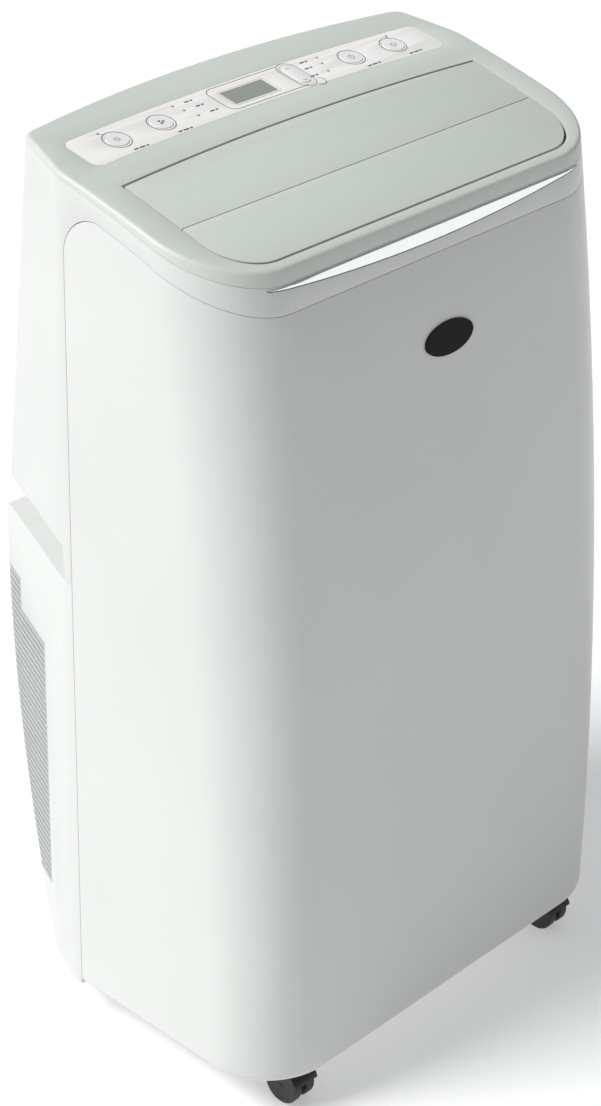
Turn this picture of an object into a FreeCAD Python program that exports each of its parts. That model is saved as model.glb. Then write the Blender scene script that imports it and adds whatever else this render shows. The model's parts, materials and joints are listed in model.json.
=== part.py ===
import FreeCAD, Part
import math
import os

# Portable air conditioner. Millimetres, +Z up, front faces -Y, origin on the floor at the centre of
# the footprint box. The body is a tall tub: a flat leaning front with big corners, sides that turn
# inwards behind a vertical seam, a slanted bowed upper rear wall and a bulging lower rear cover.

V = FreeCAD.Vector
os.makedirs("parts", exist_ok=True)

# ---- driving dimensions: body ----
HALF_W = 220.0
HALF_D = 190.5
BODY_BOTTOM = 38.0
FRONT_LEAN = 57.0            # how far the front leans back at the top
FRONT_LEAN_Z0 = 48.0
FRONT_LEAN_H = 669.0
CORNER_R = 67.0              # front upright corners
SEAM_Y = 29.0                # upright seam between the front cover and the rear pieces
BLEND_R = 45.0               # turn of the side wall behind the seam
REAR_TAPER = 0.417           # sideways per rearwards run of the side wall, low down
TOP_TAPER = 0.27             # the same at the top edge
REAR_BOW_R = 1200.0          # plan radius of the rear walls
WALL = 2.5
SEAM_GAP = 0.5
UPPER_REAR_Y = 106.0         # middle of the rear wall at the height TOP_REAR_Z
UPPER_REAR_SLOPE = 0.21
UPPER_CORNER_R = 14.0
UPPER_WALL_END = 412.0
REAR_BULGE_Z = 371.0
REAR_BULGE = 0.00072
LOWER_CORNER_R = 24.0
ROLL_R = 40.0                # rolled upper edge of the lower rear cover

# ---- top surface and the lower edge of the grey cover, as y, z of three points each ----
TOP_REAR_Z = 782.0
TOP_CURVE = [(92.0, TOP_REAR_Z), (-20.0, 760.4), (-134.0, 728.7)]
COVER_EDGE = [(92.0, 777.0), (-20.0, 754.5), (-134.0, 717.0)]
COVER_T = 3.0
BAND_LOW = [(-7.0, 743.5), (-75.0, 723.0), (-136.0, 696.0)]   # upper edge of the front cover

# ---- handle notches ----
NOTCH_LOW = 430.0
NOTCH_HIGH = 460.0
NOTCH_DEPTH = 38.0
NOTCH_FRONT_Y = 40.0

# ---- louver ----
FLAP_HALF_X = 191.0
FLAP_REAR_Y = -6.0
FLAP_SPLIT_Y = -65.0
FLAP_FRONT_Y = -122.0
FLAP_CORNER_R = 38.0
FLAP_BOW = 8.0
FLAP_GAP = 2.0
FLAP_T = 3.0
PIVOT_DEPTH = 7.0            # hinge axis under the top surface
STUB_R = 2.0
PIN_R = 1.5
CRANK_X = 198.6              # inner face of the cranks, outside the duct's left wall
CRANK_REACH = 9.0

# ---- control strip ----
PANEL_HALF_X = 191.0
PANEL_Y0 = 23.0
PANEL_Y1 = 62.0
PANEL_BOW = 7.0
PANEL_R = 8.0
BUTTONS = {"power": 151.0, "timer": 104.0, "fan": -104.0, "mode": -151.0}
BUTTON_R = 9.2
KEY_GAP = 0.35
ROCKER_X = 43.0
ROCKER_SIZE = (11.0, 27.0)
ROCKER_DEPTH = 5.8           # its axle under the strip's surface
ROCKER_AXLE_R = 1.5
LCD_SIZE = (-33.0, 13.0, 39.0, 58.0)          # x0, x1, y0, y1
LED_SPOTS = [(79.0, 61.0), (75.5, 52.0), (71.0, 41.0), (157.5, 58.5)]   # x and y, on both sides

# ---- rear ports ----
EXHAUST_Z = 525.0
EXHAUST_R = 62.0
COLLAR_Y = (138.0, 189.5)
GUARD_T = 3.5
INTAKE = (-145.0, 145.0, 612.0, 744.0)        # x0, x1, z0, z1
DRAIN_UP = (125.0, 480.0)
DRAIN_LOW_Z = 62.0
UP_MOUTH_Y = 172.0           # mouths of the two drain spigots
LOW_MOUTH_Y = 121.5
INLET = (-132.0, 530.0)
HOOKS = [(-104.0, 588.0), (-104.0, 470.0)]
UPPER_SCREWS = [(x, z) for x in (-158.0, 158.0) for z in (600.0, 725.0)]
LOWER_SCREWS = [(x, 398.0) for x in (-100.0, 0.0, 100.0)]
SCREW_R = 3.6
SCREW_HOLE_R = 4.0
VENT_Z = (100.0, 342.0, 371.0)                # bottom, side top, rear top
VENT_Y = (88.0, 142.0)                        # side start, start of the taller rear part
VENT_PITCH = 6.0
VENT_SLAT = 2.6

# ---- casters ----
CASTER_X = 164.0
CASTER_YS = {"front": -150.0, "rear": 54.0}
CASTER_TRAIL = 12.0
WHEEL_R = 17.0
STEM_R = 4.0
RUNNING = 0.05

# ---- inside ----
TRAY_Z = (42.0, 46.0, 72.0)
COND_FAN = (0.0, 245.0, 80.0, 15.0, 73.0)     # x, z, radius, y0, y1
EVAP_FAN = (0.0, 598.0, 78.0, -67.0, -3.0)
COMPRESSOR = (95.0, -85.0, 58.0)
MID_Z = 486.0
EBOX = (-205.0, -110.0, -138.0, -70.0, 300.0, 440.0)    # x0, x1, y0, y1, z0, z1
SPLASH = (-95.0, 76.0, 74.0, 24.0)            # x, y, z of the wheel's centre, its radius
FLOAT_XY = (-178.0, -20.0)
FLOAT_ROD_R = 3.0
BADGE = (8.0, 628.0, 27.0, 13.0)              # x, z, half width, half height
TRIM = (173.0, 716.4, 706.5)                  # half length, top edge, lowest point


# ---- small helpers ----
def box(x0, x1, y0, y1, z0, z1):
    return Part.makeBox(x1 - x0, y1 - y0, z1 - z0, V(x0, y0, z0))


def cyl(radius, start, end):
    start = V(*start)
    way = V(*end) - start
    return Part.makeCylinder(radius, way.Length, start, way)


def cyl_y(radius, x, z, y0, y1):
    return cyl(radius, (x, y0, z), (x, y1, z))


def cyl_z(radius, x, y, z0, z1):
    return cyl(radius, (x, y, z0), (x, y, z1))


def line(a, b):
    return Part.LineSegment(a, b).toShape()


def arc3(a, b, c):
    return Part.Arc(a, b, c).toShape()


def arc_xy(cx, cy, radius, a0, a1, z):
    def at(a):
        return V(cx + radius * math.cos(a), cy + radius * math.sin(a), z)
    return arc3(at(a0), at((a0 + a1) / 2), at(a1))


def extruded(edges, start, way):
    """A closed outline moved to start and extruded, as a solid with outward faces."""
    face = Part.Face(Part.Wire(edges))
    face.translate(start)
    solid = face.extrude(way)
    if solid.Volume < 0:
        solid.reverse()
    return solid


def prism_x(edges, x0, x1):
    return extruded(edges, V(x0, 0, 0), V(x1 - x0, 0, 0))


def prism_z(edges, z0, z1):
    return extruded(edges, V(0, 0, z0), V(0, 0, z1 - z0))


def loop(points):
    return [line(a, b) for a, b in zip(points, points[1:] + points[:1])]


def polygon_z(points, z0, z1):
    return prism_z(loop([V(x, y, 0) for x, y in points]), z0, z1)


def polygon_x(points, x0, x1):
    return prism_x(loop([V(0, y, z) for y, z in points]), x0, x1)


def mirror_x(shape):
    return shape.mirror(V(0, 0, 0), V(1, 0, 0))


def both_sides(shape):
    return [shape, mirror_x(shape)]


def fuse(shapes):
    result = shapes[0]
    if len(shapes) > 1:
        result = result.multiFuse(shapes[1:])
    return result.removeSplitter()


def cut_all(shape, tools):
    return shape.cut(Part.makeCompound(tools)) if tools else shape


def group(shapes):
    return Part.makeCompound(shapes)


def save(name, shape):
    solids = shape.Solids
    result = solids[0] if len(solids) == 1 else Part.makeCompound(solids)
    result.exportStep("parts/" + name + ".step")
    print(name, len(solids), round(result.Volume / 1000, 1), "cm3", result.isValid())


def pipe(points, radius):
    """A bent tube as a closed rod: straight runs joined by tangent bends."""
    points = [V(*p) for p in points]
    bend = 2.5 * radius
    pieces = []
    start = points[0]
    for a, b, c in zip(points, points[1:], points[2:]):
        before = (b - a).normalize()
        after = (c - b).normalize()
        turn = before.getAngle(after)
        cut_back = bend * math.tan(turn / 2)
        enter = b - before * cut_back
        leave = b + after * cut_back
        axis = before.cross(after).normalize()
        centre = enter + axis.cross(before) * bend
        section = Part.Face(Part.Wire(Part.Circle(enter, before, radius).toShape()))
        pieces.append(cyl(radius, start, enter))
        pieces.append(section.revolve(centre, axis, math.degrees(turn)))
        start = leave
    pieces.append(cyl(radius, start, points[-1]))
    return fuse(pieces)


# ---- curves of the side view ----
def circle_through(points):
    (y1, z1), (y2, z2), (y3, z3) = points
    d = 2 * (y1 * (z2 - z3) + y2 * (z3 - z1) + y3 * (z1 - z2))
    s1, s2, s3 = y1 * y1 + z1 * z1, y2 * y2 + z2 * z2, y3 * y3 + z3 * z3
    cy = (s1 * (z2 - z3) + s2 * (z3 - z1) + s3 * (z1 - z2)) / d
    cz = (s1 * (y3 - y2) + s2 * (y1 - y3) + s3 * (y2 - y1)) / d
    return cy, cz, math.hypot(y1 - cy, z1 - cz)


def top_z(y):
    cy, cz, radius = circle_through(TOP_CURVE)
    return cz + math.sqrt(radius ** 2 - (y - cy) ** 2)


def top_tilt(y):
    return math.atan2(top_z(y + 1) - top_z(y - 1), 2)


def above(points, shift=0.0):
    """Everything above the circle through three y, z points, lowered by shift."""
    cy, cz, radius = circle_through(points)
    cz -= shift
    rear, front = 200.0, -240.0

    def at(y):
        return V(0, y, cz + math.sqrt(radius ** 2 - (y - cy) ** 2))
    a, b, c = at(rear), at((rear + front) / 2), at(front)
    high = 1000.0
    edges = [arc3(a, b, c), line(c, V(0, front, high)),
             line(V(0, front, high), V(0, rear, high)), line(V(0, rear, high), a)]
    return prism_x(edges, -300, 300)


# ---- the outer form ----
def front_y(z):
    return -HALF_D + FRONT_LEAN * (max(0.0, z - FRONT_LEAN_Z0) / FRONT_LEAN_H) ** 2


def upper_rear_y(z):
    return UPPER_REAR_Y + UPPER_REAR_SLOPE * (TOP_REAR_Z - z)


def lower_rear_y(z):
    return HALF_D - REAR_BULGE * (REAR_BULGE_Z - z) ** 2


def taper_at(z):
    share = min(1.0, max(0.0, (TOP_REAR_Z - z) / (TOP_REAR_Z - NOTCH_HIGH)))
    return math.atan(TOP_TAPER + (REAR_TAPER - TOP_TAPER) * share)


def front_section(z, inset):
    """Plan outline of the front half at height z, drawn inwards by inset, closed at the seam."""
    back = SEAM_Y + (2.0 if inset else 0.0)
    side = HALF_W - inset
    radius = CORNER_R - inset
    front = front_y(z) + inset
    cx = side - radius
    cy = front + radius
    return Part.Wire([
        line(V(-cx, front, z), V(cx, front, z)),
        arc_xy(cx, cy, radius, -math.pi / 2, 0, z),
        line(V(side, cy, z), V(side, back, z)),
        line(V(side, back, z), V(-side, back, z)),
        line(V(-side, back, z), V(-side, cy, z)),
        arc_xy(-cx, cy, radius, math.pi, 1.5 * math.pi, z)])


def rear_section(z, inset, rear, corner_r, taper):
    """Plan outline of the rear half: a turn, the tapered side, the rear corner, the bowed wall."""
    turn = BLEND_R - inset
    corner = corner_r - inset
    cx = HALF_W - BLEND_R
    out = V(math.cos(taper), math.sin(taper), 0)
    along = V(-math.sin(taper), math.cos(taper), 0)
    bow_centre = V(0, rear - REAR_BOW_R, 0)
    start = V(cx, SEAM_Y, 0) + out * (BLEND_R - corner_r)
    gap = start - bow_centre
    reach = REAR_BOW_R - corner_r
    half_b = gap.dot(along)
    run = -half_b + math.sqrt(half_b ** 2 - gap.dot(gap) + reach ** 2)
    centre = start + along * run
    angle = math.atan2(centre.y - bow_centre.y, centre.x)
    p1 = V(cx, SEAM_Y, z) + out * turn
    p2 = V(centre.x, centre.y, z) + out * corner
    radius = REAR_BOW_R - inset
    side = cx + turn
    back = SEAM_Y - (2.0 if inset else 0.0)
    edges = [arc_xy(cx, SEAM_Y, turn, 0, taper, z),
             line(p1, p2),
             arc_xy(centre.x, centre.y, corner, taper, angle, z),
             arc_xy(0, bow_centre.y, radius, angle, math.pi - angle, z),
             arc_xy(-centre.x, centre.y, corner, math.pi - angle, math.pi - taper, z),
             line(V(-p2.x, p2.y, z), V(-p1.x, p1.y, z)),
             arc_xy(-cx, SEAM_Y, turn, math.pi - taper, math.pi, z)]
    if inset:
        edges += [line(V(-side, SEAM_Y, z), V(-side, back, z)),
                  line(V(-side, back, z), V(side, back, z)),
                  line(V(side, back, z), V(side, SEAM_Y, z))]
    else:
        edges.append(line(V(-side, SEAM_Y, z), V(side, SEAM_Y, z)))
    return Part.Wire(edges)


def lofted(section, z0, z1, steps, ruled=False):
    heights = [z0 + (z1 - z0) * i / (steps - 1) for i in range(steps)]
    return Part.makeLoft([section(z) for z in heights], True, ruled)


def front_half(inset, z0=BODY_BOTTOM, z1=800.0):
    return lofted(lambda z: front_section(z, inset), z0, z1, 7)


def upper_rear_half(inset, z0=405.0, z1=800.0):
    def section(z):
        return rear_section(z, inset, upper_rear_y(z), UPPER_CORNER_R, taper_at(z))
    low = Part.makeLoft([section(z0), section(NOTCH_HIGH)], True, True)
    high = Part.makeLoft([section(NOTCH_HIGH), section(z1)], True, True)
    return low.fuse(high)


def lower_rear_limit(inset):
    """Side view of the lower rear cover: rolled bottom edge and rolled ledge edge."""
    low = BODY_BOTTOM + inset
    high = NOTCH_LOW - inset
    roll = ROLL_R - inset
    ry = HALF_D - ROLL_R
    rz = NOTCH_LOW - ROLL_R
    near = SEAM_Y - 10.0
    far = 400.0
    diagonal = roll * math.sqrt(0.5)
    foot_start = V(0, 65, low)
    foot_mid = V(0, 109 - inset * 0.5, 55 + inset * 0.8)
    foot_end = V(0, 132 - inset, 92)
    return prism_x([
        line(V(0, near, low), foot_start),
        arc3(foot_start, foot_mid, foot_end),
        line(foot_end, V(0, far, 92)),
        line(V(0, far, 92), V(0, far, rz)),
        line(V(0, far, rz), V(0, ry + roll, rz)),
        arc3(V(0, ry + roll, rz), V(0, ry + diagonal, rz + diagonal), V(0, ry, high)),
        line(V(0, ry, high), V(0, near, high)),
        line(V(0, near, high), V(0, near, low))], -300, 300)


def lower_rear_half(inset, z0=30.0, z1=440.0):
    taper = math.atan(REAR_TAPER)
    form = lofted(lambda z: rear_section(z, inset, lower_rear_y(z), LOWER_CORNER_R, taper), z0, z1, 5)
    return form.common(lower_rear_limit(inset))


def front_cover_region(gap):
    """Side view of the space the front cover takes: up the seam, round an arc, then forwards."""
    y = SEAM_Y - gap
    (y1, z1), (y2, z2), (y3, z3) = BAND_LOW
    return prism_x([
        line(V(0, -400, 0), V(0, y, 0)),
        line(V(0, y, 0), V(0, y, 708)),
        arc3(V(0, y, 708), V(0, y - 9, 732 - gap * 0.7), V(0, y1, z1 - gap)),
        arc3(V(0, y1, z1 - gap), V(0, y2, z2 - gap), V(0, y3, z3 - gap)),
        line(V(0, y3, z3 - gap), V(0, -400, 560)),
        line(V(0, -400, 560), V(0, -400, 0))], -300, 300)


OUTER_FRONT = front_half(0)
INNER_FRONT = front_half(WALL, 20.0, 810.0)
OUTER_UPPER = upper_rear_half(0)
INNER_UPPER = upper_rear_half(WALL, 400.0, 810.0)
OUTER_LOWER = lower_rear_half(0)
INNER_LOWER = lower_rear_half(WALL)
BODY_OUTER = OUTER_FRONT.fuse(OUTER_UPPER)
BODY_INNER = INNER_FRONT.fuse(INNER_UPPER)


# ---- casings ----
def front_cover():
    foot = [e for e in OUTER_FRONT.Edges
            if e.BoundBox.ZMax < BODY_BOTTOM + 0.1 and e.BoundBox.YMin < SEAM_Y - 1]
    rolled = OUTER_FRONT.makeFillet(8.0, foot)
    return rolled.cut(INNER_FRONT).common(front_cover_region(SEAM_GAP / 2))


def side_point(inset, y):
    """Half width of the lower tapered side at depth y."""
    taper = math.atan(REAR_TAPER)
    return HALF_W - BLEND_R + ((BLEND_R - inset) - (y - SEAM_Y) * math.sin(taper)) / math.cos(taper)


def notch_plan(grow):
    inner = NOTCH_DEPTH + grow
    y0 = NOTCH_FRONT_Y - grow
    far = 240.0
    return [(side_point(inner, y0), y0), (300.0, y0), (300.0, far), (side_point(inner, far), far)]


def upper_housing():
    shape = OUTER_FRONT.cut(INNER_FRONT).fuse(OUTER_UPPER.cut(INNER_UPPER))
    shape = shape.cut(above(COVER_EDGE))
    shape = shape.cut(front_cover_region(-SEAM_GAP / 2))
    x0, x1, z0, z1 = INTAKE
    openings = [
        box(-300, 300, SEAM_Y - 2, NOTCH_FRONT_Y, 0, NOTCH_LOW + 0.5),
        box(-300, 300, 0, 300, 0, UPPER_WALL_END),
        box(x0, x1, 80, 200, z0, z1),
        cyl_y(EXHAUST_R + 5.0, 0, EXHAUST_Z, 100, 200),
        cyl_y(7.5, DRAIN_UP[0], DRAIN_UP[1], 100, 200),
        cyl_y(6.0, INLET[0], INLET[1], 100, 200),
        lower_rear_half(-0.5)]
    openings += [cyl_y(SCREW_HOLE_R, x, z, 80, 200) for x, z in UPPER_SCREWS]
    openings += both_sides(polygon_z(notch_plan(0.0), 380.0, NOTCH_HIGH))
    shape = cut_all(shape, openings).removeSplitter()
    # Moulded as a shell down to the notch roofs, with the band and jambs below them welded on.
    shell = shape.common(box(-300, 300, -300, 300, NOTCH_HIGH, 900))
    band = shape.common(box(-300, 300, -300, 300, 300, NOTCH_HIGH))
    return group([shell, band])


def vent_window(grow):
    """The wrap-round opening of the lower rear cover: tall at the back, lower along the sides."""
    low, side_top, rear_top = VENT_Z
    side = box(-300, 300, VENT_Y[0] - grow, 300, low - grow, side_top + grow)
    back = box(-300, 300, VENT_Y[1] - grow, 300, low - grow, rear_top + grow)
    return side.fuse(back)


def lower_rear_cover():
    shape = OUTER_LOWER.cut(INNER_LOWER)
    openings = [
        box(-300, 300, SEAM_Y - 20, SEAM_Y + SEAM_GAP / 2, 0, 500),
        box(-112, 112, SEAM_Y, 135, NOTCH_LOW - 6, NOTCH_LOW + 5),
        vent_window(0.0),
        cyl_y(11.0, 0, DRAIN_LOW_Z, 60, 200)]
    openings += [cyl_y(SCREW_HOLE_R, x, z, 100, 200) for x, z in LOWER_SCREWS]
    openings += [cyl_z(14.0, s * CASTER_X, CASTER_YS["rear"], 20, 60) for s in (-1, 1)]
    return cut_all(shape, openings)


def lower_grille():
    """Horizontal slats on upright ribs, wrapped round the rear of the lower cover."""
    skin = lower_rear_half(0.6).cut(lower_rear_half(2.6)).common(vent_window(-0.4))
    low, side_top, rear_top = VENT_Z
    count = int((rear_top - low) / VENT_PITCH)
    slats = [low + 0.4 + VENT_PITCH * i for i in range(count)]
    bars = [box(-300, 300, 80, 300, z, z + VENT_SLAT) for z in slats]
    bars.append(box(-300, 300, 80, 300, rear_top - 3.0, rear_top))
    bars.append(box(-300, 300, 80, VENT_Y[1] + 0.4, side_top - 3.5, side_top))
    bars += [box(x - 2, x + 2, 80, 300, low, rear_top + 1) for x in (-120, -60, 0, 60, 120)]
    bars.append(box(-300, 300, VENT_Y[0], VENT_Y[0] + 3.6, low, side_top))
    bars.append(box(-300, 300, VENT_Y[1] + 0.4, VENT_Y[1] + 3.4, side_top - 4, rear_top + 1))
    return skin.common(bars[0].multiFuse(bars[1:]))


def handle_pocket():
    """Liner of the right handle notch: inner wall, front wall and roof, open at side and rear."""
    outer = polygon_z(notch_plan(2.0), NOTCH_LOW + 0.3, NOTCH_HIGH + 2.0)
    hollow = polygon_z(notch_plan(0.0), NOTCH_LOW - 5, NOTCH_HIGH)
    room = INNER_UPPER.cut(box(-300, 300, SEAM_Y - 5, SEAM_Y + 1.0, 0, 900))
    return outer.cut(hollow).common(room)


# ---- top ----
def bowed_outline(half_x, y0, y1, bow0, bow1, front_r, rear_r):
    """Plan loop between two depths: front and rear edges bow rearwards, corners are round."""
    corners = []
    if rear_r:
        corners.append(arc_xy(half_x - rear_r, y1 - rear_r, rear_r, 0, math.pi / 2, 0))
        corners.append(arc_xy(rear_r - half_x, y1 - rear_r, rear_r, math.pi / 2, math.pi, 0))
    corners.append(arc_xy(front_r - half_x, y0 + front_r, front_r, math.pi, 1.5 * math.pi, 0))
    corners.append(arc_xy(half_x - front_r, y0 + front_r, front_r, -math.pi / 2, 0, 0))
    rear_x = half_x - rear_r
    front_x = half_x - front_r
    rear = arc3(V(rear_x, y1, 0), V(0, y1 + bow1, 0), V(-rear_x, y1, 0))
    front = line(V(-front_x, y0, 0), V(front_x, y0, 0))
    if bow0:
        front = arc3(V(-front_x, y0, 0), V(0, y0 + bow0, 0), V(front_x, y0, 0))
    left = line(V(-half_x, y1 - rear_r, 0), V(-half_x, y0 + front_r, 0))
    right = line(V(half_x, y0 + front_r, 0), V(half_x, y1 - rear_r, 0))
    if rear_r:
        return [rear, corners[1], left, corners[2], front, corners[3], right, corners[0]]
    return [rear, left, corners[0], front, corners[1], right]


def flap_outline(grow, z0=650.0, z1=850.0):
    edges = bowed_outline(FLAP_HALF_X + grow, FLAP_FRONT_Y - grow, FLAP_REAR_Y + grow, 0, FLAP_BOW,
                          FLAP_CORNER_R + grow, 0)
    return prism_z(edges, z0, z1)


def panel_outline(grow, z0=700.0, z1=850.0):
    edges = bowed_outline(PANEL_HALF_X + grow, PANEL_Y0 - grow, PANEL_Y1 + grow, PANEL_BOW, PANEL_BOW,
                          PANEL_R + grow, PANEL_R + grow)
    return prism_z(edges, z0, z1)


def edge_on_top(edge):
    return all(abs(p.z - top_z(p.y)) < 0.05 for p in edge.discretize(5))


def top_cover():
    outer = BODY_OUTER.common(above(COVER_EDGE, -0.3)).cut(above(TOP_CURVE)).removeSplitter()
    rim = [e for e in outer.Edges if edge_on_top(e)]
    outer = outer.makeFillet(4.0, rim)
    inner = BODY_INNER.cut(above(TOP_CURVE, COVER_T))
    shape = outer.cut(inner)
    return cut_all(shape, [flap_outline(FLAP_GAP), panel_outline(0.25)])


def top_slab(depth0, depth1):
    """The layer between two depths under the top surface, over the whole plan."""
    whole = box(-300, 300, -240, 200, 600, 900)
    return whole.cut(above(TOP_CURVE, depth0)).common(above(TOP_CURVE, depth1))


def key_frame(y):
    """Point of the top surface at depth y and its outward normal."""
    tilt = top_tilt(y)
    return V(0, y, top_z(y)), V(0, -math.sin(tilt), math.cos(tilt))


def key_y(x):
    """Depth of the control strip's centre line at x."""
    return (PANEL_Y0 + PANEL_Y1) / 2 + PANEL_BOW * (1 - (x / PANEL_HALF_X) ** 2)


def on_panel(x, y, up):
    point, normal = key_frame(y)
    p = point + normal * up
    return (x, p.y, p.z)


def key_cyl(radius, x, y, low, high):
    return cyl(radius, on_panel(x, y, low), on_panel(x, y, high))


def capsule(x, y, width, length, low, high):
    """An upright slot shape across the strip, its long way from front to rear."""
    reach = (length - width) / 2
    tilt = math.degrees(top_tilt(y))
    block = box(x - width / 2, x + width / 2, -reach, reach, low, high)
    round_a = cyl_z(width / 2, x, reach, low, high)
    round_b = cyl_z(width / 2, x, -reach, low, high)
    shape = fuse([block, round_a, round_b])
    shape.rotate(V(0, 0, 0), V(1, 0, 0), tilt)
    point = key_frame(y)[0]
    shape.translate(V(0, point.y, point.z))
    return shape


def led_places():
    return [(side * x, y) for x, y in LED_SPOTS for side in (-1, 1)]


def control_panel():
    shape = top_slab(0.0, COVER_T).common(panel_outline(0.0))
    holes = [key_cyl(BUTTON_R + KEY_GAP, x, key_y(x), -8, 8) for x in BUTTONS.values()]
    holes.append(capsule(ROCKER_X, key_y(ROCKER_X), ROCKER_SIZE[0] + 2 * KEY_GAP,
                         ROCKER_SIZE[1] + 2 * KEY_GAP, -8, 8))
    x0, x1, y0, y1 = LCD_SIZE
    holes.append(box(x0, x1, y0, y1, 700, 850))
    holes += [cyl_z(1.3, x, y, 700, 850) for x, y in led_places()]
    return cut_all(shape, holes)


def display_lens():
    x0, x1, y0, y1 = LCD_SIZE
    gap = 0.1
    window = box(x0 + gap, x1 - gap, y0 + gap, y1 - gap, 700, 850)
    return top_slab(0.2, COVER_T).common(window)


def led_lights():
    pins = [cyl_z(1.2, x, y, 700, 850) for x, y in led_places()]
    layer = top_slab(0.1, COVER_T + 2.0)
    return group([pin.common(layer) for pin in pins])


def button(x):
    y = key_y(x)
    cap = key_cyl(BUTTON_R, x, y, -5.0, 0.5)
    top = V(*on_panel(x, y, 0.5))
    rounds = [e for e in cap.Edges if len(e.Vertexes) == 1]
    cap = cap.makeFillet(0.4, [e for e in rounds if e.Curve.Center.distanceToPoint(top) < 0.01])
    flange = key_cyl(BUTTON_R + 1.8, x, y, -5.0, -3.5)
    return fuse([cap, flange])


def rocker_key():
    y = key_y(ROCKER_X)
    width, length = ROCKER_SIZE
    cap = capsule(ROCKER_X, y, width, length, -4.6, 0.6)
    ends = [on_panel(ROCKER_X + dx, y, -ROCKER_DEPTH) for dx in (-8.5, 8.5)]
    axle = cyl(ROCKER_AXLE_R, *ends)
    saddle = capsule(ROCKER_X, y, width - 3, 6.0 + width - 3, -6.5, -4.0)
    return fuse([cap, saddle, axle])


def display_board():
    """Circuit board under the strip, with posts to the cover and bearings for the rocker's axle."""
    mid = (PANEL_Y0 + PANEL_Y1) / 2 + PANEL_BOW / 2
    tilt = math.degrees(top_tilt(mid))
    board = box(-172, 172, -17, 17, -12.6, -11.0)
    posts = [cyl_z(3.0, x, -13.5, -11.0, -3.6) for x in (-168, -91, 91, 168)]
    y = key_y(ROCKER_X)
    ears = []
    for s in (-1, 1):
        x = ROCKER_X + s * 7.2
        ears.append(box(x - 1.0, x + 1.0, y - mid - 3, y - mid + 3, -11.0, -3.4))
    shape = fuse([board] + posts + ears)
    shape.rotate(V(0, 0, 0), V(1, 0, 0), tilt)
    point = key_frame(mid)[0]
    shape.translate(V(0, point.y, point.z))
    ends = [on_panel(ROCKER_X + dx, y, -ROCKER_DEPTH) for dx in (-12, 12)]
    return shape.cut(cyl(ROCKER_AXLE_R + RUNNING, *ends))


def key_domes():
    """Soft return domes on the board, one under each button."""
    domes = []
    for x in BUTTONS.values():
        domes.append(key_cyl(4.0, x, key_y(x), -10.6, -6.1))
    return group(domes)


# ---- louver ----
def blade_pivot(y0, y1):
    """Hinge axis of a blade, as y and z: under the middle of its chord."""
    point, normal = key_frame((y0 + y1) / 2)
    p = point - normal * PIVOT_DEPTH
    return p.y, p.z


REAR_PIVOT = blade_pivot(FLAP_SPLIT_Y, FLAP_REAR_Y)
FRONT_PIVOT = blade_pivot(FLAP_FRONT_Y, FLAP_SPLIT_Y)


def crank_pin(pivot):
    return pivot[0] + CRANK_REACH, pivot[1] - 1.0


def blade(y_low, y_high, pivot):
    """One louver blade with a stiffening spine and end stubs, and the crank pressed on its left stub."""
    slab = top_slab(0.0, FLAP_T).common(flap_outline(0.0))
    half_gap = 0.4
    high = y_high - half_gap if y_high == FLAP_SPLIT_Y else 200.0
    low = y_low + half_gap if y_low == FLAP_SPLIT_Y else -240.0
    plate = slab.common(box(-300, 300, low, high, 600, 900))
    y, z = pivot
    end = FLAP_HALF_X - 3.0
    spine = polygon_x([(y - 5.5, z + 6), (y + 5.5, z + 6), (y + 2.2, z - 2.4), (y - 2.2, z - 2.4)], -end, end)
    spine = spine.cut(above(TOP_CURVE, 1.0))
    left_stub = cyl(STUB_R, (-CRANK_X - 2.5, y, z), (-end + 4.0, y, z))
    right_stub = cyl(STUB_R, (end - 4.0, y, z), (end + 7.0, y, z))
    pin_y, pin_z = crank_pin(pivot)
    eyes = [cyl(3.6, (-CRANK_X - 2.5, ey, ez), (-CRANK_X, ey, ez)) for ey, ez in (pivot, (pin_y, pin_z))]
    arm = polygon_x([(y, z - 2.5), (y, z + 2.5), (pin_y, pin_z + 2.5), (pin_y, pin_z - 2.5)],
                    -CRANK_X - 2.5, -CRANK_X)
    pin = cyl(PIN_R, (-CRANK_X - 6.0, pin_y, pin_z), (-CRANK_X, pin_y, pin_z))
    crank = fuse(eyes + [arm, pin]).cut(left_stub)
    return group([fuse([plate, spine, left_stub, right_stub]), crank])


def louver_link():
    """Bar that ties the two crank pins, so that the blades turn together."""
    x0, x1 = -CRANK_X - 5.4, -CRANK_X - 2.9
    pins = [crank_pin(p) for p in (REAR_PIVOT, FRONT_PIVOT)]
    eyes = [cyl(3.4, (x0, y, z), (x1, y, z)) for y, z in pins]
    (ya, za), (yb, zb) = pins
    bar = polygon_x([(ya, za - 2.2), (ya, za + 2.2), (yb, zb + 2.2), (yb, zb - 2.2)], x0, x1)
    holes = [cyl(PIN_R + RUNNING, (x0 - 1, y, z), (x1 + 1, y, z)) for y, z in pins]
    return cut_all(fuse(eyes + [bar]), holes)


def duct_plan(grow, z0, z1):
    """The louver's outline grown all round, and more at the rear, where the blade's edge swings out."""
    swing = 1.6
    rear = flap_outline(grow + swing, z0, z1).common(box(-300, 300, FLAP_REAR_Y - 24.0, 300, z0, z1))
    return flap_outline(grow, z0, z1).fuse(rear)


def outlet_duct():
    """Air duct under the louver: a floor with the blower's outlet, and a wall with four bearings."""
    ring = duct_plan(5.0, 700.0, 790.0).cut(duct_plan(2.6, 699.0, 791.0))
    floor = duct_plan(5.0, 698.0, 700.0)
    shape = fuse([ring, floor]).cut(above(TOP_CURVE, COVER_T + 0.4))
    holes = [box(14, 94, EVAP_FAN[3] - 2, EVAP_FAN[4] + 2, 690, 705)]
    for y, z in (REAR_PIVOT, FRONT_PIVOT):
        holes.append(cyl(STUB_R + RUNNING, (-250, y, z), (250, y, z)))
    return cut_all(shape, holes)


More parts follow.
